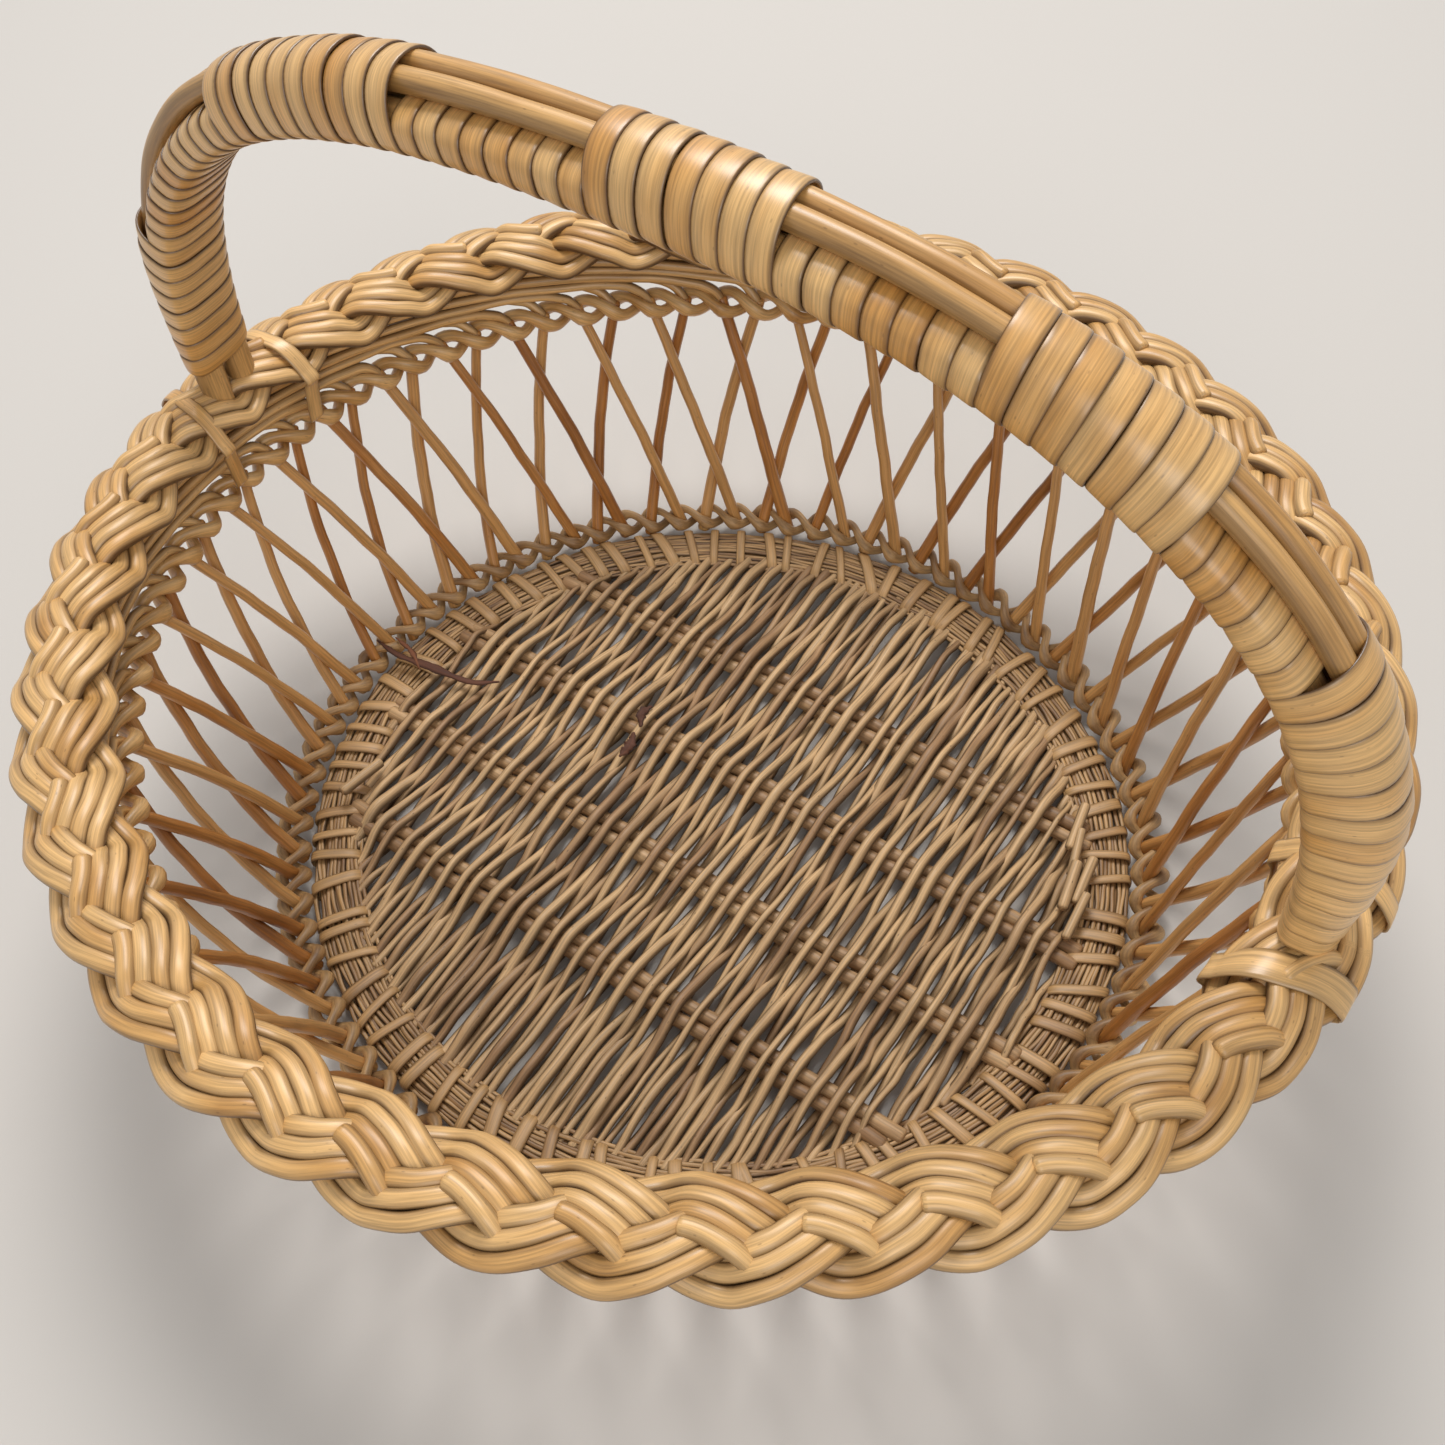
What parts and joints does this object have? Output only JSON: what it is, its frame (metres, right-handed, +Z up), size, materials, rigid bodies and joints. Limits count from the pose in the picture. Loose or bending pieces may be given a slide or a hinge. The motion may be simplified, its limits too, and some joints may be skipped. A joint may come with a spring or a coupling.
{
  "type": "basket",
  "caption": "Oval openwork willow basket with a round woven base, crossed side stakes, a plaited rolled border and a fixed arched handle wrapped in split willow",
  "frame": {"origin": "on the floor in the middle of the base", "axes": "+X along the handle's span, the basket's longest side; +Z up"},
  "size_m": [0.451, 0.4176, 0.3088],
  "materials": {
    "base_willow": "aged, lightly varnished willow",
    "stake_willow": "varnished buff willow",
    "border_willow": "varnished buff willow",
    "core_willow": "varnished willow rod",
    "skein_willow": "satin varnished split willow"
  },
  "bodies": {
    "root": {"base_hoop": "base_willow", "base_scalloms": "base_willow", "base_stick_pair_1": "base_willow", "base_stick_pair_2": "base_willow", "base_stick_pair_3": "base_willow", "base_stick_pair_4": "base_willow", "base_weavers": "base_willow", "base_twine": "base_willow", "inner_stakes_1": "stake_willow", "outer_stakes_1": "stake_willow", "inner_stakes_2": "stake_willow", "outer_stakes_2": "stake_willow", "inner_stakes_3": "stake_willow", "outer_stakes_3": "stake_willow", "inner_stakes_4": "stake_willow", "outer_stakes_4": "stake_willow", "inner_stakes_5": "stake_willow", "outer_stakes_5": "stake_willow", "inner_stakes_6": "stake_willow", "outer_stakes_6": "stake_willow", "top_fitching": "border_willow", "border_foundation": "border_willow", "border_strand_1": "border_willow", "border_strand_2": "border_willow", "border_strand_3": "border_willow", "handle_core_front": "core_willow", "handle_core_back": "core_willow", "handle_leader_front": "skein_willow", "handle_leader_back": "skein_willow", "handle_lapping": "skein_willow", "handle_ties_left": "skein_willow", "handle_ties_right": "skein_willow"}
  },
  "joints": []
}
